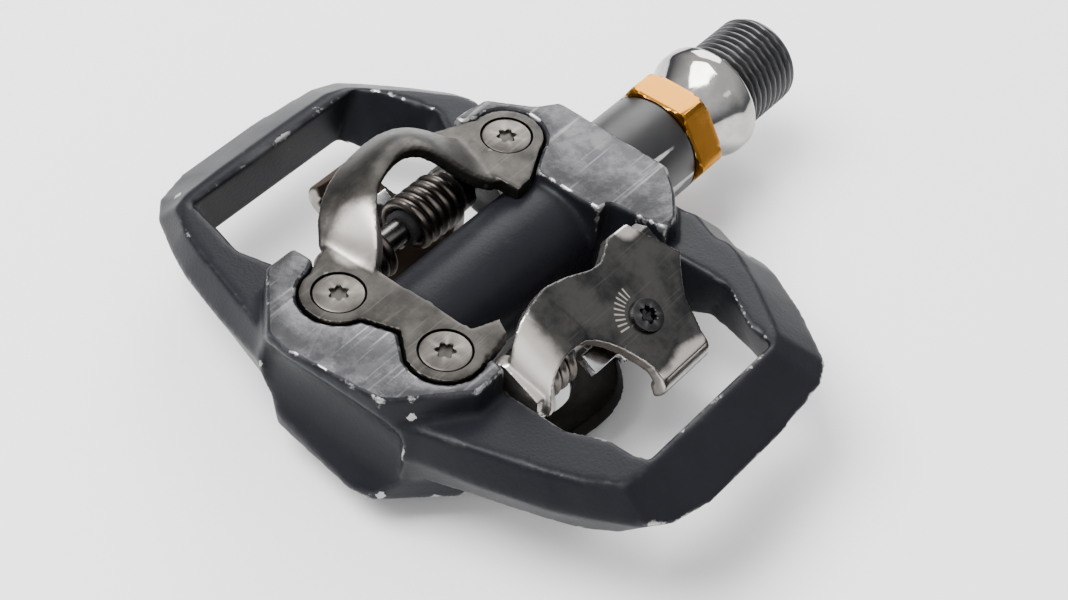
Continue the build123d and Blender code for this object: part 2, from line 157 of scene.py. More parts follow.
def soft_light(name, place, target, size, watts):
    """A square area light aimed at a point; places in mm from the pedal's centre."""
    data = bpy.data.lights.new(name, "AREA")
    data.size = size * MM
    data.energy = watts
    lamp = bpy.data.objects.new(name, data)
    lamp.location = at(*place)
    lamp.rotation_euler = (at(*target) - lamp.location).to_track_quat("-Z", "Y").to_euler()
    bpy.context.scene.collection.objects.link(lamp)
    return lamp


soft_light("key", place=(-250, 250, 700), target=(0, 0, 0), size=500, watts=13.0)
soft_light("rim", place=(500, 300, 350), target=(10, 0, 0), size=400, watts=4.0)
soft_light("front_fill", place=(-450, -350, 260), target=(0, 0, 0), size=400, watts=0.8)

# %% [markdown]
# ## Shared effects
# Wear and scratches turn up in many finishes, so each is a shader node group: built once, placed
# in each material with its own numbers. A group only puts out a mask that changes over the
# surface; the shader stays in the material. Adding nodes one by one is wordy, so a small class
# adds a node and joins its inputs in one line.


# %% Node group helper
def new_group(name, inputs, outputs):
    """A shader node group with float sockets; inputs maps each name to its default value."""
    group = bpy.data.node_groups.new(name, "ShaderNodeTree")
    for label, value in inputs.items():
        socket = group.interface.new_socket(label, in_out="INPUT", socket_type="NodeSocketFloat")
        socket.default_value = value
    for label in outputs:
        group.interface.new_socket(label, in_out="OUTPUT", socket_type="NodeSocketFloat")
    group_in = group.nodes.new("NodeGroupInput")
    group_out = group.nodes.new("NodeGroupOutput")
    return group, group_in, group_out


class Wiring:
    """Adds nodes to one tree and joins them, so that a material reads from top to bottom."""

    def __init__(self, tree):
        self.tree = tree

    def add(self, kind, inputs=None, **settings):
        """A node of a kind, with settings as attributes and inputs as values or sockets."""
        node = self.tree.nodes.new("ShaderNode" + kind)
        for key, value in settings.items():
            setattr(node, key, value)
        for key, value in (inputs or {}).items():
            if isinstance(value, bpy.types.NodeSocket):
                self.tree.links.new(value, node.inputs[key])
            else:
                node.inputs[key].default_value = value
        return node

    def math(self, operation, first, second=0.0, clamp=False):
        """One Math node's output."""
        node = self.add("Math", {0: first, 1: second}, operation=operation, use_clamp=clamp)
        return node.outputs[0]

    def ramp(self, value, low, high):
        """0 below low, 1 above high, smooth between."""
        node = self.add("MapRange", {"Value": value, "From Min": low, "From Max": high},
                        interpolation_type="SMOOTHSTEP")
        return node.outputs["Result"]

    def noise(self, vector, scale, detail=3.0, rough=0.55):
        """Noise value at a scale, in cycles per metre."""
        node = self.add("TexNoise", {"Vector": vector, "Scale": scale, "Detail": detail,
                                     "Roughness": rough})
        return node.outputs["Fac"]

    def mix(self, share, first, second):
        """Mix two colours."""
        node = self.add("Mix", {"Factor": share}, data_type="RGBA")
        for index, value in ((6, first), (7, second)):
            if isinstance(value, bpy.types.NodeSocket):
                self.tree.links.new(value, node.inputs[index])
            else:
                node.inputs[index].default_value = value
        return node.outputs[2]


# %% [markdown]
# ## Worn edges
# Paint and black oxide wear off a pedal's corners first. Painting that by hand would need a map;
# Pointiness already knows where the mesh bends outwards, so it picks the edges. Noise moves the
# threshold about, which breaks the line up into chips.

# %% Wear: edges rubbed bare, broken up by noise
wear_group, wear_in, wear_out = new_group(
    "edge_wear", {"Edge": 0.52, "Softness": 0.05, "Scale": 250.0, "Patchiness": 0.5}, ["Mask"]
)
w = Wiring(wear_group)
place = w.add("TexCoord").outputs["Object"]
point = w.add("NewGeometry").outputs["Pointiness"]
patches = w.noise(place, wear_in.outputs["Scale"], 4.0, 0.65)
shift = w.math("MULTIPLY", w.math("SUBTRACT", patches, 0.5), wear_in.outputs["Patchiness"])
shift_reach = 0.12
raised = w.math("ADD", point, w.math("MULTIPLY", shift, shift_reach))
upper = w.math("ADD", wear_in.outputs["Edge"], wear_in.outputs["Softness"])
mask = w.ramp(raised, wear_in.outputs["Edge"], upper)
wear_group.links.new(mask, wear_out.inputs["Mask"])

# %% [markdown]
# ## Scratches
# Cleats and stones leave long thin lines that run a few ways. Noise that is stretched along one
# axis gives such lines, so three stretched noises, each turned by its own angle, are enough.

# %% Scratches: a few directions of long thin lines
scratch_group, scratch_in, scratch_out = new_group(
    "scratches", {"Scale": 900.0, "Amount": 0.5}, ["Mask"]
)
w = Wiring(scratch_group)
place = w.add("TexCoord").outputs["Object"]
lines = []
stretch = (0.04, 1.0, 1.0)
for turn in (0.3, 1.2, 2.4):
    lay = w.add("Mapping", {"Vector": place, "Rotation": (0.0, 0.0, turn), "Scale": stretch})
    grain = w.noise(lay.outputs["Vector"], scratch_in.outputs["Scale"], 2.0, 0.6)
    lines.append(w.ramp(grain, 0.62, 0.72))
both = w.math("MAXIMUM", lines[0], lines[1])
mask = w.math("MULTIPLY", w.math("MAXIMUM", both, lines[2]), scratch_in.outputs["Amount"])
scratch_group.links.new(mask, scratch_out.inputs["Mask"])
print("node groups:", [g.name for g in bpy.data.node_groups])


# %% [markdown]
# ## Starting a finish
# Each finish is one material with a Principled shader. These helpers start it, place a shared
# effect in it and give it fine relief, so that a finish below shows only what is special to it.


# %% Material helper
def new_finish(name, colour, metallic, roughness):
    """A material with a Principled BSDF; returns it, its wiring and the shader node."""
    made = bpy.data.materials.new(name)
    made.use_nodes = True
    shader = made.node_tree.nodes["Principled BSDF"]
    shader.inputs["Base Color"].default_value = (*colour, 1)
    shader.inputs["Metallic"].default_value = metallic
    shader.inputs["Roughness"].default_value = roughness
    return made, Wiring(made.node_tree), shader


def group_node(wiring, group, **values):
    """Place a shared effect in a material with its own values; returns its mask."""
    node = wiring.add("Group", node_tree=group)
    for key, value in values.items():
        node.inputs[key].default_value = value
    return node.outputs["Mask"]


def feed(wiring, socket, target):
    """Join an output to an input."""
    wiring.tree.links.new(socket, target)


def bump(wiring, shader, height, strength, distance=0.0002):
    """Feed a height to the shader's normal."""
    node = wiring.add("Bump", {"Height": height, "Strength": strength, "Distance": distance})
    feed(wiring, node.outputs["Normal"], shader.inputs["Normal"])


# %% [markdown]
# ## The body's finish
# The body is coated black over forged aluminium. The coat is satin with a fine peel; it is
# rubbed through to grey metal along edges. The faces of the side blocks are machined bare
# after coating, so there the shader turns to scratched aluminium by height and by slope.

# %% Black coat with bare aluminium where it is worn or machined
body_coat, w, shader = new_finish("black_coat", (0.02, 0.021, 0.025), 0.0, 0.42)
shader.inputs["Specular IOR Level"].default_value = 0.11
place = w.add("TexCoord").outputs["Object"]
split = w.add("SeparateXYZ", {"Vector": place})
facing = w.add("SeparateXYZ", {"Vector": w.add("TexCoord").outputs["Normal"]})
height = w.math("ABSOLUTE", split.outputs["Z"])
level = w.ramp(height, block_top - 0.25 * MM, block_top - 0.1 * MM)
flat = w.ramp(w.math("ABSOLUTE", facing.outputs["Z"]), 0.93, 0.98)
machined = w.math("MULTIPLY", level, flat)
chips = group_node(w, wear_group, Edge=0.541, Softness=0.02, Scale=330.0, Patchiness=1.6)
spots = w.ramp(w.noise(place, 420.0, 6.0, 0.7), 0.725, 0.735)
chipped = w.math("MAXIMUM", chips, spots, clamp=True)
bare = w.math("MAXIMUM", chipped, machined)
scratches = group_node(w, scratch_group, Scale=700.0, Amount=0.7)
cloud = w.noise(place, 90.0, 4.0, 0.6)
soft_wear = group_node(w, wear_group, Edge=0.515, Softness=0.06, Scale=150.0, Patchiness=0.8)
rubbed_coat = w.math("MULTIPLY", soft_wear, 0.5)
coat = w.mix(cloud, (0.005, 0.0053, 0.0075, 1), (0.011, 0.0115, 0.0145, 1))
coat = w.mix(rubbed_coat, coat, (0.09, 0.09, 0.092, 1))
stain = w.noise(place, 260.0, 6.0, 0.7)
metal = w.mix(w.ramp(stain, 0.42, 0.62), (0.050, 0.050, 0.053, 1), (0.088, 0.088, 0.091, 1))
metal = w.mix(scratches, metal, (0.20, 0.20, 0.204, 1))
fresh_share = 0.8
off_the_faces = w.math("SUBTRACT", fresh_share, w.math("MULTIPLY", machined, fresh_share))
fresh = w.math("MULTIPLY", chipped, off_the_faces)
metal = w.mix(fresh, metal, (0.38, 0.38, 0.38, 1))
feed(w, w.mix(bare, coat, metal), shader.inputs["Base Color"])
feed(w, w.math("MULTIPLY", bare, 0.9), shader.inputs["Metallic"])
peel = w.noise(place, 2200.0, 3.0, 0.6)
feed(w, w.math("ADD", w.math("MULTIPLY", cloud, 0.22), 0.27), shader.inputs["Roughness"])
bump(w, shader, w.math("SUBTRACT", peel, w.math("MULTIPLY", bare, 0.6)), 0.35, 0.0001)
print("finish:", body_coat.name)

# %% [markdown]
# ## Steel finishes
# Hooks, claws, screws and springs are steels of different colour and gloss, but they age the
# same way: cloudy patches, scratches, bright rubbed spots and dried mud. One recipe with a few
# numbers makes them all. The underside is the top face turned over, so the recipe turns its
# coordinates back for a sheet's own marks; a rubbed spot is placed on the top face only.
# Bent sheet is also darkened on the side that faces the pedal's middle: dried mud plus painted shade.


# %% Steels: one recipe with its own colour, gloss, dirt and rubbed spots
def folded(w):
    """Object coordinates with the underside turned onto the top face."""
    place = w.add("TexCoord").outputs["Object"]
    split = w.add("SeparateXYZ", {"Vector": place})
    turned = w.math("MULTIPLY", split.outputs["Y"], w.math("SIGN", split.outputs["Z"]))
    raised = w.math("ABSOLUTE", split.outputs["Z"])
    joined_up = w.add("CombineXYZ", {"X": split.outputs["X"], "Y": turned, "Z": raised})
    return place, joined_up.outputs["Vector"]


def steel(name, dark, light, gloss, dirt, rubbed=(), edge_share=0.35, extra=None, bare=0.36,
          grime_and_shade_colour=(0.05, 0.035, 0.025)):
    """Pressed or turned steel: cloudy colour, fine scratches, brown grime, and spots rubbed bright.

    Each rubbed spot is (x, y, z, radius) in mm from the pedal's centre on the top face. A piece
    of bent sheet has an extra function, which gives a bright mask of its own, and dried dirt
    plus painted shade on its inner side.
    """
    made, w, shader = new_finish(name, light, 1.0, gloss)
    place, top_place = folded(w)
    cloud = w.noise(place, 140.0, 5.0, 0.62)
    fine = w.noise(place, 900.0, 4.0, 0.6)
    scratches = group_node(w, scratch_group, Scale=1300.0, Amount=0.5)
    edges = group_node(w, wear_group, Edge=0.535, Softness=0.06, Scale=300.0, Patchiness=0.4)
    tone = w.mix(w.ramp(cloud, 0.35, 0.65), (*dark, 1), (*light, 1))
    bright = w.math("MULTIPLY", edges, edge_share)
    for x, y, z, radius in rubbed:
        spot = w.add("VectorMath", {0: place, 1: at(x, y, z)}, operation="DISTANCE")
        size = radius * MM
        wobble = w.math("MULTIPLY", w.math("SUBTRACT", cloud, 0.5), size * 0.9)
        reach = w.math("ADD", spot.outputs["Value"], wobble)
        inside = w.math("SUBTRACT", 1.0, w.ramp(reach, size * 0.7, size * 1.15))
        bright = w.math("MAXIMUM", bright, inside)
    if extra:
        bright = w.math("MAXIMUM", bright, extra(w, top_place))
    scratched = (*[min(1.0, c * 1.6) for c in light], 1)
    shine = w.mix(w.math("MULTIPLY", scratches, 0.6), tone, scratched)
    shine = w.mix(bright, shine, (bare, bare * 0.935, bare * 0.87, 1))
    grime_and_shade = w.math("MULTIPLY", w.ramp(w.noise(place, 420.0, 6.0, 0.7), 0.54, 0.72), dirt)
    grime_and_shade = w.math("MULTIPLY", grime_and_shade, w.math("SUBTRACT", 1.0, w.math("MULTIPLY", bright, 0.7)))
    if extra:
        # the side that faces the pedal's middle is darkened: dried mud plus painted shade
        height = w.add("SeparateXYZ", {"Vector": place}).outputs["Z"]
        up = w.add("SeparateXYZ", {"Vector": w.add("TexCoord").outputs["Normal"]}).outputs["Z"]
        inner_mud_and_shade = w.ramp(w.math("MULTIPLY", up, w.math("SIGN", height)), 0.05, -0.25)
        grime_and_shade = w.math("MAXIMUM", grime_and_shade, w.math("MULTIPLY", inner_mud_and_shade, 0.85))
    # the grime colour also paints the shade on the inner side
    feed(w, w.mix(grime_and_shade, shine, (*grime_and_shade_colour, 1)), shader.inputs["Base Color"])
    rub = w.math("ADD", w.math("MULTIPLY", fine, 0.2), gloss - 0.1)
    rough = w.math("ADD", rub, w.math("MULTIPLY", grime_and_shade, 0.35), clamp=True)
    feed(w, rough, shader.inputs["Roughness"])
    bump(w, shader, w.math("ADD", fine, w.math("MULTIPLY", scratches, -0.3)), 0.1, 0.0001)
    return made


# %% [markdown]
# ## Marks on the claw
# The claw's top plate slopes at 30 degrees, and the tension screw stands square to it. Round
# the screw is a fan of fine engraved lines that show the tension. They are far finer than the
# remesh below can hold, so the finish draws them: a sine of the angle round the screw, kept
# between two radii. The sheet's cut edges, the cheek and the rear lip are rubbed bright.

# %% Claw slope and marks
slope = math.radians(30)
slope_normal = Vector((0, -math.sin(slope), math.cos(slope)))
across = Vector((1, 0, 0))
uphill = slope_normal.cross(across)
screw_base = Vector((6.0, -24.6, 9.2))
marks_in_a_turn = 36.0
print("claw plate slope, degrees:", round(math.degrees(slope), 1))


def claw_marks(w, top_place):
    """Bright cut edges of the bent sheet, and a fan of engraved marks round the tension screw."""
    normal = w.add("TexCoord").outputs["Normal"]
    facing = w.add("VectorMath", {0: normal, 1: slope_normal}, operation="DOT_PRODUCT")
    cut = w.math("SUBTRACT", 1.0, w.ramp(w.math("ABSOLUTE", facing.outputs["Value"]), 0.45, 0.75))
    away = w.add("VectorMath", {0: top_place, 1: at(*screw_base)}, operation="SUBTRACT")
    arm = away.outputs["Vector"]
    east = w.add("VectorMath", {0: arm, 1: across}, operation="DOT_PRODUCT").outputs["Value"]
    north = w.add("VectorMath", {0: arm, 1: uphill}, operation="DOT_PRODUCT").outputs["Value"]
    squares = w.math("ADD", w.math("MULTIPLY", east, east), w.math("MULTIPLY", north, north))
    radius = w.math("SQRT", squares)
    angle = w.math("ARCTAN2", north, east)
    stripe = w.math("SINE", w.math("MULTIPLY", angle, marks_in_a_turn))
    marks = w.ramp(stripe, 0.35, 0.75)
    outside = w.ramp(radius, 3.1 * MM, 3.3 * MM)
    band = w.math("MULTIPLY", outside, w.ramp(radius, 4.9 * MM, 4.6 * MM))
    fan = w.math("MULTIPLY", w.ramp(angle, 1.45, 1.55), w.ramp(angle, 3.14, 3.05))
    engraved = w.math("MULTIPLY", w.math("MULTIPLY", marks, band), fan)
    split = w.add("SeparateXYZ", {"Vector": arm})
    patches = w.math("SUBTRACT", w.noise(top_place, 160.0, 4.0, 0.6), 0.5)
    uneven = w.math("MULTIPLY", patches, 3.0 * MM)
    outboard = w.math("ADD", split.outputs["X"], uneven)
    cheek_side = w.ramp(outboard, -13.2 * MM, -15.4 * MM)
    rear = w.ramp(w.math("ADD", split.outputs["Y"], uneven), -5.0 * MM, -6.2 * MM)
    high = w.ramp(split.outputs["Z"], -9.0 * MM, -5.0 * MM)
    worn = w.math("MULTIPLY", w.math("MAXIMUM", cheek_side, rear), high)
    cut = w.math("MAXIMUM", w.math("MULTIPLY", cut, 0.75), worn)
    return w.math("MAXIMUM", cut, w.math("MULTIPLY", engraved, 0.8))


def no_marks(w, top_place):
    """No marks of its own; the inner side still gets its dirt and painted shade."""
    return 0.0


# %% [markdown]
# ## Six steels
# The hooks are dark with one leg rubbed bright by cleats. The claws are a little glossier and
# their bare metal is brighter. Tension screws are blacked, springs are brownish, and the parts
# inside the bearing are clean bright steel.
# The hooks' side that faces the pedal's middle is darkened near black: painted shade.

# %% Steels in use
hook_steel = steel(
    "hook_steel", dark=(0.028, 0.0265, 0.0245), light=(0.062, 0.0575, 0.0525), gloss=0.40, dirt=0.35,
    rubbed=[(-9.6, 10.4, 11.8, 4.9)], edge_share=0.25, extra=no_marks, bare=0.33,
    # near black: on the hook's inner side this colour is painted shade as well as grime
    grime_and_shade_colour=(0.014, 0.013, 0.012),
)
claw_steel = steel(
    "claw_steel", dark=(0.026, 0.0265, 0.027), light=(0.075, 0.073, 0.070), gloss=0.30, dirt=0.25,
    rubbed=[(12.9, -14.6, 14.6, 2.6)], edge_share=0.35, extra=claw_marks, bare=0.56,
)
screw_steel = steel(
    "screw_steel", dark=(0.055, 0.050, 0.045), light=(0.11, 0.10, 0.09), gloss=0.38, dirt=0.35
)
black_steel = steel(
    "black_steel", dark=(0.012, 0.012, 0.013), light=(0.035, 0.035, 0.038), gloss=0.26, dirt=0.1
)
spring_steel = steel(
    "spring_steel", dark=(0.09, 0.078, 0.070), light=(0.20, 0.178, 0.162), gloss=0.32, dirt=0.4
)
bearing_steel = steel(
    "bearing_steel", dark=(0.35, 0.35, 0.36), light=(0.6, 0.6, 0.61), gloss=0.18, dirt=0.1
)
print("steels:", [m.name for m in bpy.data.materials if m.name.endswith("steel")])

# %% [markdown]
# ## Finishes of the axle side
# The spindle is polished where it is bare and dark where the thread is cut, so one ramp along
# the axis changes from one to the other. The nut is gold anodised aluminium: a coloured metal,
# not a paint. The collar is black anodised, and the small seals and bushes are dull black.

# %% Spindle, collar, nut, rubber and plastic
chrome, w, shader = new_finish("spindle_polish", (0.62, 0.60, 0.58), 1.0, 0.12)
place = w.add("TexCoord").outputs["Object"]
haze = w.noise(place, 160.0, 5.0, 0.6)
marks = group_node(w, scratch_group, Scale=900.0, Amount=0.35)
threaded = w.ramp(w.add("SeparateXYZ", {"Vector": place}).outputs["X"], 0.2 * MM, 0.5 * MM)
polish = w.mix(w.ramp(haze, 0.35, 0.7), (0.34, 0.325, 0.31, 1), (0.50, 0.48, 0.46, 1))
feed(w, w.mix(threaded, polish, (0.085, 0.085, 0.088, 1)), shader.inputs["Base Color"])
satin = w.math("ADD", w.math("MULTIPLY", haze, 0.2), w.math("MULTIPLY", marks, 0.2))
feed(w, w.math("ADD", satin, w.math("MULTIPLY", threaded, 0.28)), shader.inputs["Roughness"])

gold, w, shader = new_finish("gold_anodised", (0.83, 0.47, 0.10), 1.0, 0.26)
place = w.add("TexCoord").outputs["Object"]
haze = w.noise(place, 200.0, 4.0, 0.6)
rubbed = group_node(w, wear_group, Edge=0.56, Softness=0.04, Scale=500.0, Patchiness=0.5)
tint = w.mix(haze, (0.30, 0.12, 0.012, 1), (0.42, 0.185, 0.025, 1))
feed(w, w.mix(rubbed, tint, (0.75, 0.70, 0.60, 1)), shader.inputs["Base Color"])
feed(w, w.math("ADD", w.math("MULTIPLY", haze, 0.2), 0.16), shader.inputs["Roughness"])

black_collar, w, shader = new_finish("black_anodised", (0.03, 0.03, 0.033), 0.0, 0.38)
shader.inputs["Specular IOR Level"].default_value = 0.35
place = w.add("TexCoord").outputs["Object"]
haze = w.noise(place, 260.0, 4.0, 0.6)
rubbed = group_node(w, wear_group, Edge=0.56, Softness=0.04, Scale=500.0, Patchiness=0.5)
black = w.mix(haze, (0.008, 0.008, 0.009, 1), (0.016, 0.016, 0.017, 1))
feed(w, w.mix(rubbed, black, (0.4, 0.4, 0.4, 1)), shader.inputs["Base Color"])
feed(w, w.math("ADD", w.math("MULTIPLY", haze, 0.2), 0.3), shader.inputs["Roughness"])

soft_black, w, shader = new_finish("rubber_and_plastic", (0.02, 0.02, 0.02), 0.0, 0.6)
place = w.add("TexCoord").outputs["Object"]
haze = w.noise(place, 500.0, 4.0, 0.6)
dull = w.mix(haze, (0.012, 0.012, 0.012, 1), (0.035, 0.034, 0.033, 1))
feed(w, dull, shader.inputs["Base Color"])
bump(w, shader, haze, 0.2)
print("axle side finishes:", [m.name for m in (chrome, gold, black_collar, soft_black)])

# %% [markdown]
# ## Floor finish
# The table is nearly white and not glossy, so that it holds only a soft shadow. A very faint
# grain keeps it from looking like empty space.

# %% Pale floor
paper, w, shader = new_finish("pale_floor", (0.85, 0.86, 0.88), 0.0, 0.7)
grain = w.noise(w.add("TexCoord").outputs["Object"], 30.0, 3.0, 0.5)
pale = w.mix(grain, (0.94, 0.942, 0.945, 1), (0.955, 0.957, 0.96, 1))
feed(w, pale, shader.inputs["Base Color"])
floor.data.materials.append(paper)
print("materials:", len(bpy.data.materials))

# %% [markdown]
# ## Finishes on the CAD pieces
# The record names a material slot for each CAD node. One table turns a slot into a finish.

# %% Assign finishes by slot
finish_of_slot = {
    "body_black": body_coat,
    "hook_steel": hook_steel,
    "claw_steel": claw_steel,
    "screw_steel": screw_steel,
    "black_steel": black_steel,
    "spindle_chrome": chrome,
    "bearing_steel": bearing_steel,
    "gold_anodised": gold,
    "black_anodised": black_collar,
    "spring_steel": spring_steel,
    "bush_plastic": soft_black,
    "seal_rubber": soft_black,
}
subparts = frame["record"]["subparts"]
slot_of_node = {part["node"]: part["material_slot"] for part in subparts}
for node_name, node_object in frame["nodes"].items():
    node_object.data.materials.clear()
    node_object.data.materials.append(finish_of_slot[slot_of_node[node_name]])
print("dressed CAD nodes:", len(frame["nodes"]))

# %% [markdown]
# ## Tools for new pieces
# New pieces are drawn in millimetres from the pedal's centre, then scaled into the frame. Four
# small shapes do nearly all the work: a slab extruded from an outline, a rod, a grid laid
# through sections, and a circle extruded from ring to ring.


# %% Shapes drawn in millimetres
def new_object(name, bm):
    """Scale a bmesh drawn in mm from the pedal's centre into the frame and link it."""
    bmesh.ops.scale(bm, vec=(MM, MM, MM), verts=bm.verts)
    bmesh.ops.translate(bm, vec=centre, verts=bm.verts)
    bmesh.ops.recalc_face_normals(bm, faces=bm.faces)
    data = bpy.data.meshes.new(name)
    bm.to_mesh(data)
    bm.free()
    made = bpy.data.objects.new(name, data)
    bpy.context.scene.collection.objects.link(made)
    return made


def slab(bm, outline, push):
    """Add a closed prism: an outline of 3-D points pushed along a vector, all in mm."""
    face = bm.faces.new([bm.verts.new(point) for point in outline])
    grown = bmesh.ops.extrude_face_region(bm, geom=[face], use_keep_orig=True)["geom"]
    tops = [item for item in grown if isinstance(item, bmesh.types.BMVert)]
    bmesh.ops.translate(bm, vec=push, verts=tops)


def rod(bm, start, end, radius, segments=48):
    """Add a closed cylinder between two points."""
    axis = Vector(end) - Vector(start)
    turned = axis.to_track_quat("Z", "Y").to_matrix().to_4x4()
    middle = (Vector(start) + Vector(end)) / 2
    bmesh.ops.create_cone(
        bm, cap_ends=True, segments=segments, radius1=radius, radius2=radius,
        depth=axis.length, matrix=Matrix.Translation(middle) @ turned,
    )


def skin(bm, sections):
    """Add a grid with a row for each section, and move its points to the sections' points."""
    grid = bmesh.ops.create_grid(
        bm, x_segments=len(sections[0]) - 1, y_segments=len(sections) - 1, size=1.0
    )["verts"]
    points = [point for section in sections for point in section]
    for vert, point in zip(grid, points):
        vert.co = point


def ring_stack(bm, rings, segments, place, caps=(True, True)):
    """Extrude a circle from ring to ring along the local Z of a placement.

    Each ring is (height, radius), and the radius may be a function of the angle.
    """
    ring = bmesh.ops.create_circle(
        bm, cap_ends=caps[0], segments=segments, radius=1.0, matrix=place
    )["verts"]
    edges = list(dict.fromkeys(edge for vert in ring for edge in vert.link_edges))
    to_local = place.inverted()
    for number, (height, radius_at) in enumerate(rings):
        if number:
            grown = bmesh.ops.extrude_edge_only(bm, edges=edges)["geom"]
            ring = [item for item in grown if isinstance(item, bmesh.types.BMVert)]
            new_verts = set(ring)
            edges = [item for item in grown if isinstance(item, bmesh.types.BMEdge)]
            edges = [edge for edge in edges if new_verts.issuperset(edge.verts)]
        for vert in ring:
            local = to_local @ vert.co
            step = round(math.atan2(local.y, local.x) * segments / (2 * math.pi)) % segments
            angle = 2 * math.pi * step / segments
            radius = radius_at(angle) if callable(radius_at) else radius_at
            spot = Vector((radius * math.cos(angle), radius * math.sin(angle), height))
            vert.co = place @ spot
    if caps[1]:
        bmesh.ops.edgeloop_fill(bm, edges=edges)


print("shapes:", [shape.__name__ for shape in (slab, rod, skin, ring_stack)])

# %% [markdown]
# ## Soft corners and crisp cuts
# Pressed sheet and forgings have no sharp arris. A bevel fails where many solids meet, so a
# voxel remesh melts overlapping solids into one skin and a few rounds of smoothing soften it.
# Drilled seats are crisp, so they are cut afterwards, with an exact Boolean.


# %% Modifiers that end up in the mesh
def bake(made):
    """Turn an object's modifiers into its mesh."""
    evaluated = made.evaluated_get(bpy.context.evaluated_depsgraph_get())
    baked = bpy.data.meshes.new_from_object(evaluated)
    made.modifiers.clear()
    made.data = baked
    return made


def melt(made, voxel, rounds):
    """Voxel remesh and smooth: one skin with soft corners."""
    remesh = made.modifiers.new("melt", "REMESH")
    remesh.mode = "VOXEL"
    remesh.voxel_size = voxel * MM
    smooth = made.modifiers.new("soften", "SMOOTH")
    smooth.factor = 0.5
    smooth.iterations = rounds
    return bake(made)


def carve(made, cutter):
    """Cut one object out of another and drop the cutter."""
    cut = made.modifiers.new("carve", "BOOLEAN")
    cut.operation = "DIFFERENCE"
    cut.solver = "EXACT"
    cut.object = cutter
    bake(made)
    bpy.data.objects.remove(cutter)
    return made


print("solid tools:", [tool.__name__ for tool in (bake, melt, carve)])

# %% [markdown]
# ## Handing a piece over
# A finished piece takes its finish, moves with the body that its CAD node belongs to, and stands
# for that node. The underside's pieces are the top ones after half a turn about the spindle
# axis, so each is drawn once.


# %% Finish a piece and turn it over
def finish_piece(made, material, node, angle=35):
    """Shade a piece smooth up to an angle, give it a finish and let it stand for a CAD node."""
    made.data.materials.clear()
    made.data.materials.append(material)
    made.data.shade_smooth()
    made.data.set_sharp_from_angle(angle=math.radians(angle))
    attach(made, body_of_node[node])
    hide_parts(node)
    print(made.name, "triangles:", sum(len(p.vertices) - 2 for p in made.data.polygons))
    return made


def other_face(made, name):
    """A copy of a finished top piece for the underside: half a turn about the spindle axis."""
    data = made.data.copy()
    half_turn = Matrix.Rotation(math.pi, 4, "X")
    data.transform(Matrix.Translation(centre) @ half_turn @ Matrix.Translation(-centre))
    copy = bpy.data.objects.new(name, data)
    bpy.context.scene.collection.objects.link(copy)
    return copy


print("pieces to stand for:", len(body_of_node), "CAD nodes")

# %% [markdown]
# ## The forged body
# The body starts as a merged copy of its CAD mesh. Melting it gives every arris the radius of a
# forging. The two machined levels are then cut flat again, so their rims stay crisp.

# %% Body
body = frame["nodes"]["cage_body"].copy()
body.data = body.data.copy()
body.name = "forged_body"
bpy.context.scene.collection.objects.link(body)
bm = bmesh.new()
bm.from_mesh(body.data)
bmesh.ops.remove_doubles(bm, verts=bm.verts, dist=1e-6)
bm.to_mesh(body.data)
bm.free()
melt(body, voxel=0.46, rounds=7)
print("melted body, points:", len(body.data.vertices))

# %% [markdown]
# ## Machined faces
# The side blocks' faces are milled after forging. A plane cuts the soft body just below each
# face's height and a fill closes it, which gives a flat face with a crisp rim.

# %% Mill the block faces
bm = bmesh.new()
bm.from_mesh(body.data)
machining = 0.09 * MM
for way in (1, -1):
    level = Vector((0, 0, way * (block_top - machining)))
    everything = list(bm.verts) + list(bm.edges) + list(bm.faces)
    cut = bmesh.ops.bisect_plane(
        bm, geom=everything, plane_co=level, plane_no=(0, 0, way), clear_outer=True
    )["geom_cut"]
    rim = [item for item in cut if isinstance(item, bmesh.types.BMEdge)]
    bmesh.ops.triangle_fill(bm, edges=rim, use_beauty=True, use_dissolve=False, normal=(0, 0, way))
bmesh.ops.recalc_face_normals(bm, faces=bm.faces)
bm.to_mesh(body.data)
bm.free()
finish_piece(body, body_coat, "cage_body", angle=40)

# %% [markdown]
# ## Toe hook
# Two flat feet carry a loop that rises over the toe end of the cleat, all bent from one sheet.
# The feet are plain slabs in an outline. Each screw stands in a round boss, so a rod of the
# same height rounds the foot there.

# %% Feet of the toe hook
plate_low, plate_high = 7.2, 9.5
boss_r = 5.2
screw_spots = ((19.7, 10.5), (-18.3, 7.2), (-16.5, -9.5))
feet = (
    ((-22.6, 10.2), (-17.8, -3.0), (-21.3, -7.2), (-13.4, -14.2), (-8.8, -13.3), (-7.6, -11.0),
     (-11.6, -9.4), (-11.4, -2.3), (-11.8, 2.5), (-11.6, 14.9), (-18.3, 12.4)),
    ((12.4, 2.4), (15.1, 2.5), (20.8, 5.4), (24.6, 8.5), (19.0, 15.8), (11.8, 19.0)),
)
bm = bmesh.new()
for outline in feet:
    slab(bm, [(x, y, plate_low) for x, y in outline], (0, 0, plate_high - plate_low))
for x, y in screw_spots:
    rod(bm, (x, y, plate_low), (x, y, plate_high), boss_r, 64)
flats = new_object("flats", bm)
print("feet, faces:", len(flats.data.polygons))

# %% [markdown]
# ## The loop
# A slab can't follow the twist of the loop. It is a ribbon instead: a grid through sections that
# run from the inner edge, over a rounded crest, to the outer edge. Subdivision makes it flow and
# Solidify gives it the sheet's gauge.

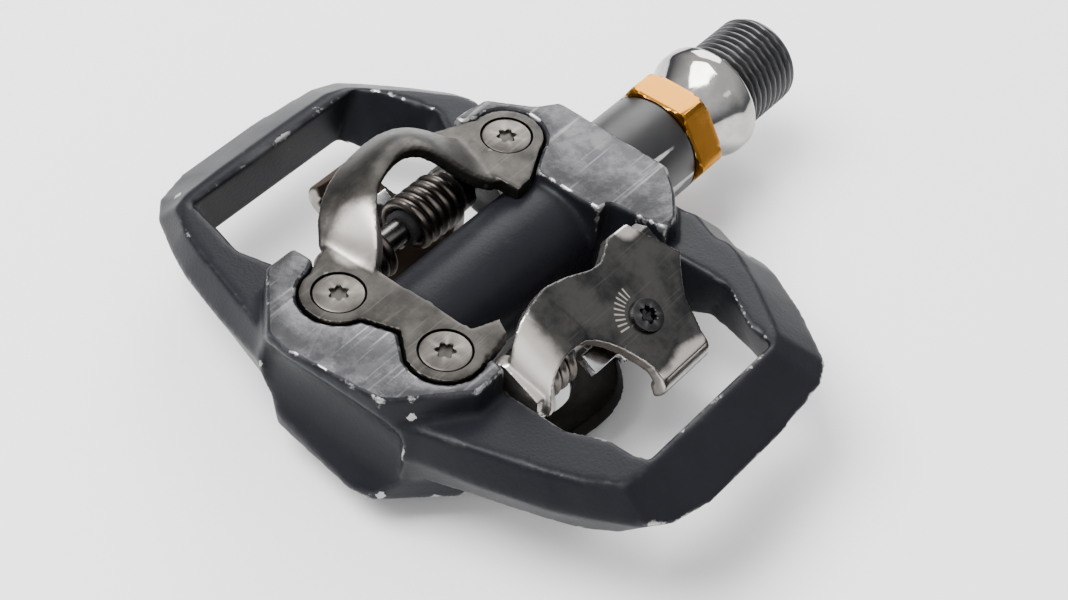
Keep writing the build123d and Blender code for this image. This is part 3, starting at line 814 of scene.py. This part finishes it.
# %% Loop of the toe hook
loop_edges = (
    ((-13.6, 4.8, 9.1), (-14.2, 14.9, 9.1)),
    ((-12.2, 6.4, 9.6), (-12.9, 15.8, 9.5)),
    ((-10.9, 7.2, 11.4), (-11.8, 17.3, 10.6)),
    ((-9.2, 8.9, 13.2), (-8.6, 19.4, 11.4)),
    ((-7.0, 11.0, 14.3), (-5.4, 20.9, 11.8)),
    ((-3.6, 13.6, 14.6), (-0.6, 21.8, 12.0)),
    ((1.0, 15.2, 14.6), (4.0, 22.2, 12.0)),
    ((4.6, 15.2, 14.4), (8.6, 21.6, 11.6)),
    ((7.0, 13.4, 13.6), (11.4, 19.2, 11.0)),
    ((8.6, 10.4, 11.8), (13.0, 16.4, 10.2)),
    ((10.2, 7.4, 9.9), (14.4, 14.4, 9.5)),
    ((12.2, 5.0, 9.1), (16.2, 13.2, 9.1)),
)
loop_foot, loop_rise = 9.6, 5.0
crest_lift, shoulder_lift = 0.9, 1.1
hook_gauge = 2.0


def bent_sheet(name, rows, gauge_mm):
    """A sheet of a gauge that hangs below a grid of smooth bends."""
    bm = bmesh.new()
    skin(bm, rows)
    sheet = new_object(name, bm)
    rounding = sheet.modifiers.new("rounding", "SUBSURF")
    rounding.levels = rounding.render_levels = 3
    gauge = sheet.modifiers.new("gauge", "SOLIDIFY")
    gauge.thickness = gauge_mm * MM
    gauge.offset = -1.0
    return bake(sheet)


sections = []
for inner, outer in loop_edges:
    inner, outer = Vector(inner), Vector(outer)
    rise = max(0.0, inner.z - loop_foot) / loop_rise
    fall = (inner.z - outer.z) / 2.6
    crest = inner.lerp(outer, 0.25) + Vector((0, 0, crest_lift * rise * fall + 0.1))
    shoulder = inner.lerp(outer, 0.62) + Vector((0, 0, shoulder_lift * rise))
    sections.append((inner, crest, shoulder, outer))
loop = bent_sheet("loop", sections, hook_gauge)
print("loop, faces:", len(loop.data.polygons))

# %% [markdown]
# ## One hook
# Feet and loop are joined and melted, which makes the bends between them as round as in pressed
# steel. Then the screws' seats are sunk, and the screws' holes go right through.


# %% Join, melt and drill the toe hook
def joined(name, *parts):
    """Put several meshes in one object and drop the originals."""
    bm = bmesh.new()
    for part in parts:
        bm.from_mesh(part.data)
        bpy.data.objects.remove(part)
    bmesh.ops.recalc_face_normals(bm, faces=bm.faces)
    data = bpy.data.meshes.new(name)
    bm.to_mesh(data)
    bm.free()
    made = bpy.data.objects.new(name, data)
    bpy.context.scene.collection.objects.link(made)
    return made


seat_floor, seat_r = 7.95, 3.72
hole_r = 2.05
hook = melt(joined("toe_hook_top", flats, loop), voxel=0.27, rounds=5)
bm = bmesh.new()
for x, y in screw_spots:
    rod(bm, (x, y, seat_floor), (x, y, 12.0), seat_r, 64)
    rod(bm, (x, y, 6.0), (x, y, 9.0), hole_r, 32)
carve(hook, new_object("recess", bm))
finish_piece(hook, hook_steel, "top_toe_hook")
finish_piece(other_face(hook, "toe_hook_under"), hook_steel, "bottom_toe_hook")

# %% [markdown]
# ## Claw
# The claw is bent from one sheet: a top plate on a 30 degree slope, a cheek folded down on the
# outboard side, an ear on each side for the pin, and a lip along the rear. The sheet is left
# open in an arch behind the cheek, so its light cut edge shows. The plate and the ears are flat,
# so they are slabs; a round boss closes each ear about the pin.

# %% Plate and ears of the claw
pin = Vector((0, -16.0, 1.5))
claw_gauge = 2.2
plate_height_over_pin = 14.0
ear_boss_r = 3.6
outboard_ear_x, inboard_ear_x = -13.2, 14.2


def on_slope(x, y):
    """The point of the claw's top surface over a plan position."""
    return Vector((x, y, plate_height_over_pin + (y - pin.y) * math.tan(slope)))


plate_plan = (
    (-8.2, -15.6), (-5.2, -14.9), (-3.0, -14.7), (0.2, -15.3), (4.0, -16.5), (6.0, -16.6),
    (7.4, -16.0), (9.3, -15.0), (13.1, -15.1), (17.2, -21.6), (15.1, -23.5), (12.9, -26.0), (12.2, -28.4),
    (11.0, -31.4), (2.2, -31.4), (1.9, -29.4), (1.1, -27.5), (0.2, -25.8), (-1.1, -24.1),
    (-2.5, -22.8), (-4.1, -22.0), (-6.2, -21.7),
)
outboard_ear = (
    (-14.4, 8.2), (-16.4, 9.0), (-22.2, 6.4), (-22.6, 3.4), (-20.6, 1.8), (-19.6, -0.4),
    (-14.0, -1.0),
)
inboard_ear = (
    (-14.4, 11.8), (-16.4, 12.6), (-22.6, 9.0), (-21.4, 3.4), (-19.6, -0.4), (-14.0, -1.0),
)
bm = bmesh.new()
slab(bm, [on_slope(x, y) for x, y in plate_plan], slope_normal * -claw_gauge)
slab(bm, [(outboard_ear_x, y, z) for y, z in outboard_ear], (claw_gauge, 0, 0))
slab(bm, [(inboard_ear_x, y, z) for y, z in inboard_ear], (claw_gauge, 0, 0))
for x in (outboard_ear_x, inboard_ear_x):
    rod(bm, (x, pin.y, pin.z), (x + claw_gauge, pin.y, pin.z), ear_boss_r)
plate = new_object("plate", bm)
print("plate and ears, faces:", len(plate.data.polygons))

# %% [markdown]
# ## Bends of the claw
# The cheek rolls over from the plate and comes down straight. The lip leaves the plate's rear
# end and curls under it. Both are grids with the sheet's gauge. The lip's rows are turned about
# one axis, so its bend is round.

# %% Cheek and lip of the claw
cheek_rows = (
    ((-4.4, -15.0, 14.75), (-2.4, -22.6, 10.35)),
    ((-6.9, -15.2, 14.55), (-5.0, -22.0, 10.7)),
    ((-9.2, -15.5, 13.7), (-7.6, -21.8, 10.3)),
    ((-11.0, -16.0, 12.0), (-9.7, -22.1, 9.2)),
    ((-12.3, -16.6, 10.0), (-11.2, -22.8, 7.4)),
    ((-13.0, -17.0, 8.2), (-12.1, -23.6, 5.2)),
    ((-13.3, -17.2, 6.6), (-12.5, -24.2, 3.0)),
)
lip_start = on_slope(0, -30.4)
lip_radius = 2.7
lip_rows = [[(x, *on_slope(0, -28.8).yz) for x in (11.6, 6.6, 1.8)]]
for angle in (0, 30, 60, 90, 120, 140):
    swing = math.radians(angle)
    drop = slope_normal * lip_radius * (math.cos(swing) - 1)
    bend = lip_start + drop - uphill * lip_radius * math.sin(swing)
    lip_rows.append([(x, bend.y, bend.z) for x in (11.6, 6.6, 1.8)])
cheek = bent_sheet("cheek", cheek_rows, claw_gauge)
lip = bent_sheet("lip", lip_rows, claw_gauge)
print("cheek and lip, faces:", len(cheek.data.polygons), len(lip.data.polygons))

# %% [markdown]
# ## One claw
# Plate, ears, cheek and lip are joined and melted like the hook. The tension screw has a seat
# and a hole square to the slope, and the pin has a hole along the spindle's direction.

# %% Join, melt and drill the claw
claw = joined("claw_top", plate, cheek, lip)
melt(claw, voxel=0.22, rounds=6)
head_seat_r, head_seat_depth = 2.6, 1.0
shank_hole_r, shank_hole_depth = 2.25, 5.0
pin_hole_r = 1.96
above_plate = screw_base + slope_normal * 3
bm = bmesh.new()
rod(bm, screw_base - slope_normal * head_seat_depth, above_plate, head_seat_r, 64)
rod(bm, screw_base - slope_normal * shank_hole_depth, above_plate, shank_hole_r, 48)
rod(bm, (-16, pin.y, pin.z), (20, pin.y, pin.z), pin_hole_r, 48)
carve(claw, new_object("drill", bm))
finish_piece(claw, claw_steel, "top_claw")
finish_piece(other_face(claw, "claw_under"), claw_steel, "bottom_claw")

# %% [markdown]
# ## Tension plates
# The tension screw pulls a small plate up under the claw, and the plate's arm winds the spring.
# A broad slab and a narrow one, both square to the screw, are melted into one plate.

# %% Tension plates
plate_gauge = 1.6
middle = screw_base - slope_normal * 4.3
bm = bmesh.new()
for start, end, half in ((-4.5, 4.5, 2.8), (-9.5, -4.0, 1.5)):
    corners = ((start, -half), (end, -half), (end, half), (start, half))
    raised = slope_normal * plate_gauge / 2
    outline = [middle + across * x + uphill * y + raised for x, y in corners]
    slab(bm, outline, slope_normal * -plate_gauge)
tension_plate = melt(new_object("tension_plate_top", bm), voxel=0.2, rounds=3)
bm = bmesh.new()
rod(bm, middle - slope_normal * 3, middle + slope_normal * 3, 2.24, 48)
carve(tension_plate, new_object("plate_hole", bm))
finish_piece(tension_plate, bearing_steel, "top_tension_plate")
finish_piece(other_face(tension_plate, "tension_plate_under"), bearing_steel, "bottom_tension_plate")

# %% [markdown]
# ## Spindle
# The spindle is turned from one bar. Rings extruded along it give the slim end, the flange's
# flowing neck and the key socket. The thread is a true left-hand helix: each ring's radius
# changes with the angle, a little later on each ring. Its height fades at both ends as a cut
# thread's does.

# %% Spindle
along_x = Matrix(((0, 0, 1, 0), (1, 0, 0, 0), (0, 1, 0, 0), (0, 0, 0, 1)))
thread_r = 7.14
thread_pitch = 1.27
thread_depth = 0.72
thread_start, thread_end = 55.9, 67.6
chamfer_start = 67.0
ring_gap = 0.085


def thread_radius(x):
    """Radius at a station along the axis, as a function of the angle, on a left-hand thread."""
    run_in = min(1.0, max(0.0, (x - thread_start) / 0.8))
    fade = run_in * min(1.0, max(0.0, (thread_end - x) / 0.5))

    def at_angle(angle):
        phase = (x / thread_pitch + angle / (2 * math.pi)) % 1.0
        tooth = min(1.0, max(0.0, 1.35 - abs(phase - 0.5) * 3.6))
        chamfer = min(0.0, chamfer_start - x) * 0.9
        return thread_r - thread_depth * fade * (1 - tooth) + chamfer

    return at_angle


def hexagon(across_flats, corner_r, turn=0.0):
    """Radius function of a hexagon with its corners turned to a circle."""
    def at_angle(angle):
        turned = (angle - turn + math.pi / 6) % (math.pi / 3) - math.pi / 6
        return min(across_flats / 2 / math.cos(turned), corner_r)
    return at_angle


slim_end = [
    (-21.5, 0.4), (-21.5, 2.8), (-21.3, 3.0), (-15.0, 3.0), (-15.0, 3.5), (-12.5, 3.5), (-11.0, 4.0),
    (20.0, 4.0), (20.6, 4.4), (23.6, 4.4), (24.8, 5.4), (40.0, 5.4),
]
flange = [
    (40.6, 5.9), (44.5, 5.9), (46.6, 5.9), (47.6, 6.0), (48.6, 6.3), (49.6, 6.75), (50.5, 7.3),
    (51.3, 7.8), (51.9, 8.3), (52.4, 8.6), (52.9, 8.74), (53.4, 8.78), (54.4, 8.78), (54.7, 8.72),
    (54.92, 8.55), (55.0, 8.3), (55.0, 7.2), (55.05, thread_r), (55.8, thread_r),
]
stations = [thread_start + step * ring_gap for step in range(137)]
turns = [(x, thread_radius(x)) for x in stations]
key_socket = [
    (67.5, 6.3), (67.5, hexagon(8.5, 4.7)), (67.1, hexagon(8.0, 4.5)), (58.5, hexagon(8.0, 4.5)),
    (57.2, 0.4),
]
bm = bmesh.new()
ring_stack(bm, slim_end + flange + turns + key_socket, 96, along_x)
finish_piece(new_object("spindle_turned", bm), chrome, "spindle", angle=30)

# %% [markdown]
# ## Collar and wrench nut
# Both are hollow, so their profiles run up the outside and back along the bore until they meet
# the first ring, and the double points there are merged. The nut's profile uses hexagonal rings
# whose corner circle shrinks towards both ends, which gives the curved chamfer of a real nut.

# %% Collar and wrench nut
collar_profile = [
    (24.0, 6.9), (24.0, 7.6), (30.45, 7.6), (30.45, 7.85), (30.65, 8.05), (40.4, 8.05),
    (40.7, 7.98), (40.9, 7.8), (41.0, 7.5), (41.0, 7.4), (43.8, 7.4), (43.8, 6.9), (24.0, 6.9),
]
nut_turn = math.radians(28)
nut_rims = [(41.15, 15.8, 8.5), (41.4, 16.0, 9.0), (41.7, 16.0, 9.2), (45.5, 16.0, 9.2),
            (46.0, 16.0, 8.9), (46.35, 15.9, 8.4)]
nut_profile = [(41.02, 7.44), (41.02, 8.05)]
nut_profile += [(x, hexagon(flats, corner, nut_turn)) for x, flats, corner in nut_rims]
nut_profile += [(46.5, 7.75), (46.5, 6.5), (46.3, 6.25), (45.95, 6.25), (45.95, 7.0),
                (43.95, 7.0), (43.95, 7.44), (41.02, 7.44)]
for name, profile, segments, finish, node, angle in (
    ("collar_turned", collar_profile, 96, black_collar, "bearing_collar", 30),
    ("nut_turned", nut_profile, 180, gold, "wrench_nut", 24),
):
    bm = bmesh.new()
    ring_stack(bm, profile, segments, along_x, caps=(False, False))
    bmesh.ops.remove_doubles(bm, verts=bm.verts, dist=1e-5)
    finish_piece(new_object(name, bm), finish, node, angle)

# %% [markdown]
# ## Screws
# The foot screws and the tension screws have six-lobed sockets. A Boolean could cut them, but
# the head is a stack of rings anyway, so the socket is the last few rings: their radius swells
# and shrinks six times a turn.


# %% Screw with a six-lobed socket
def lobed(size):
    """Radius function of a six-lobed socket."""
    return lambda angle: size * (1 + 0.17 * math.cos(6 * angle))


def screw(bm, place, head_r, shank_r, head_low, top, tip, socket_r):
    """A flat-headed screw along the local Z of a placement matrix."""
    shank = [(tip, 0.2), (tip, shank_r - 0.3), (tip + 0.3, shank_r), (head_low, shank_r)]
    head = [
        (head_low, head_r - 0.15), (head_low + 0.15, head_r), (top - 0.35, head_r),
        (top - 0.1, head_r - 0.12), (top, head_r - 0.42),
    ]
    socket = [
        (top, lobed(socket_r + 0.12)), (top - 0.15, lobed(socket_r)), (top - 1.1, lobed(socket_r)),
        (top - 1.4, 0.2),
    ]
    ring_stack(bm, shank + head + socket, 72, place)


bm = bmesh.new()
for index, (x, y) in enumerate(screw_spots):
    place = Matrix.Translation((x, y, 0)) @ Matrix.Rotation(0.4 + index * 0.35, 4, "Z")
    screw(bm, place, head_r=3.5, shank_r=1.95, head_low=8.0, top=9.45, tip=4.2, socket_r=1.15)
foot_screws = finish_piece(
    new_object("foot_screws_top", bm), screw_steel, "top_hook_screws", angle=30
)
finish_piece(other_face(foot_screws, "foot_screws_under"), screw_steel, "bottom_hook_screws", 30)

# %% [markdown]
# ## Tension screws
# The same screw, a little smaller, stands square to the claw's slope.

# %% Tension screws
square = slope_normal.to_track_quat("Z", "Y").to_matrix().to_4x4()
bm = bmesh.new()
screw(bm, Matrix.Translation(screw_base) @ square, head_r=2.45, shank_r=2.2, head_low=-0.98,
      top=0.6, tip=-6.0, socket_r=1.1)
tension = finish_piece(
    new_object("tension_screw_drawn", bm), black_steel, "top_tension_screw", angle=30
)
finish_piece(other_face(tension, "tension_screw_under_drawn"), black_steel, "bottom_tension_screw", 30)
